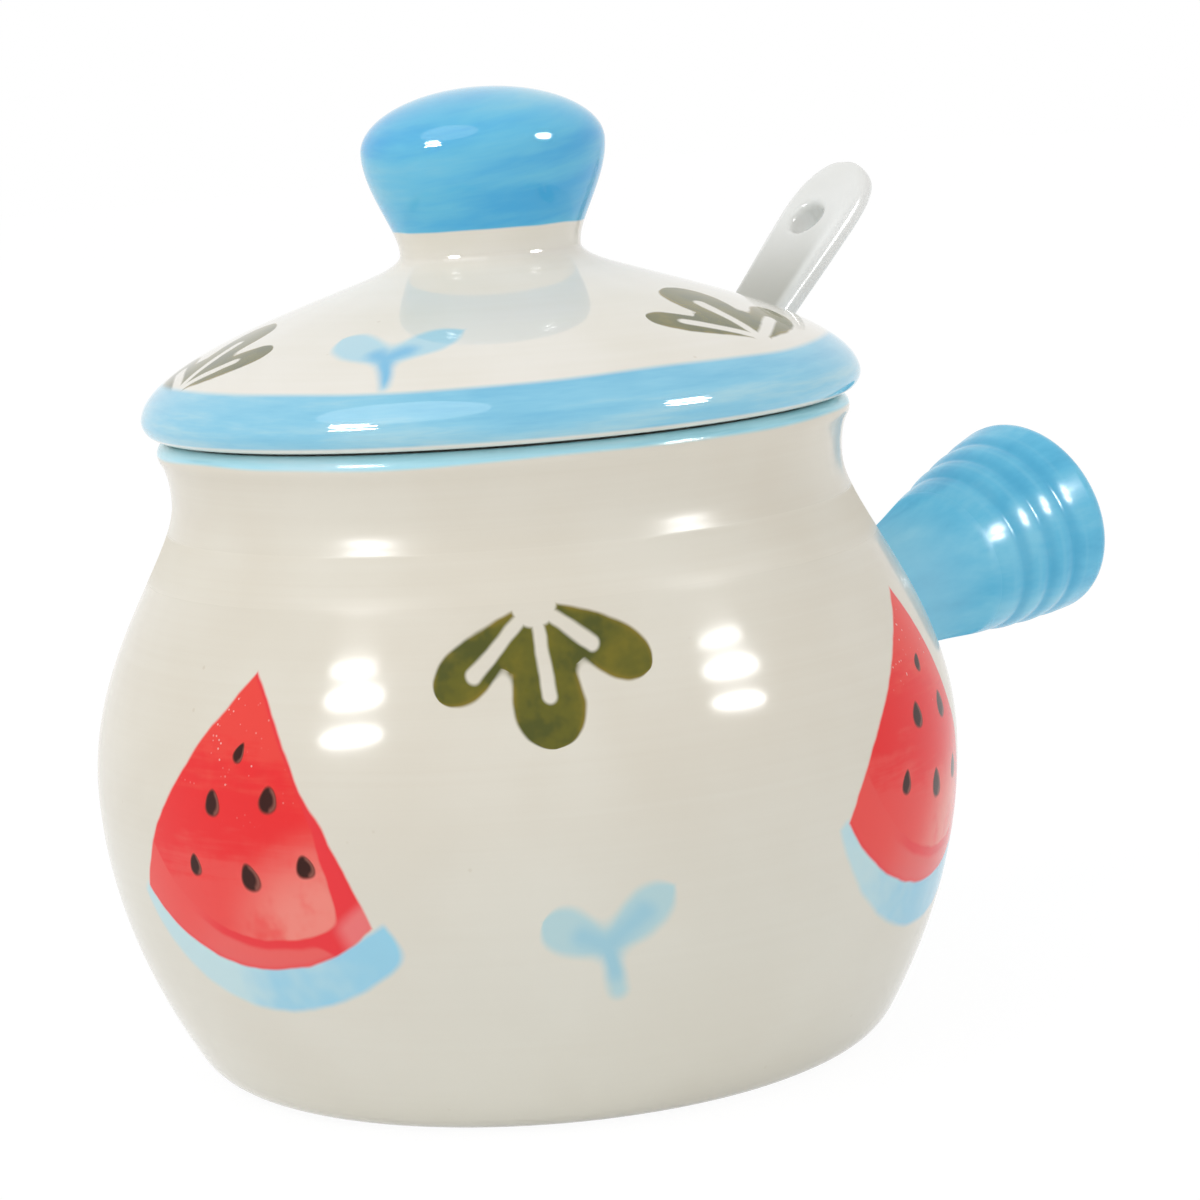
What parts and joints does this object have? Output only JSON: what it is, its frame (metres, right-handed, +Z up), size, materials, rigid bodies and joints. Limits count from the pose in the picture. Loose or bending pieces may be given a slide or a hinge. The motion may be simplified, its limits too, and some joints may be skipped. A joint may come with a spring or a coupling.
{
  "type": "condiment jar",
  "caption": "Round glazed ceramic condiment jar with a hollow side handle, a domed lid with a knob and a spoon notch, and a leaning spoon.",
  "frame": {"origin": "middle of the flat foot, on the jar's axis", "axes": "+Z up the jar's axis, +X out over the side handle and the spoon, +Y to the left of the handle seen from above"},
  "size_m": [0.1439, 0.1, 0.1111],
  "materials": {
    "jar_glaze": "glossy cream glaze",
    "handle_glaze": "glossy light blue glaze",
    "lid_glaze": "glossy cream glaze",
    "knob_glaze": "glossy light blue glaze",
    "spoon_glaze": "glossy white glaze"
  },
  "bodies": {
    "jar": {"jar_body": "jar_glaze", "side_handle": "handle_glaze"},
    "lid": {"lid_shell": "lid_glaze", "lid_knob": "knob_glaze"},
    "spoon": {"spoon": "spoon_glaze"}
  },
  "joints": [
    {"name": "lid_lift", "type": "slide", "parent": "jar", "child": "lid", "axis": [0, 0, 1], "range_m": [0, 0.08]},
    {"name": "spoon_draw", "type": "slide", "parent": "jar", "child": "spoon", "axis": [0.7337, 0, 0.6794], "range_m": [0, 0.045]}
  ]
}
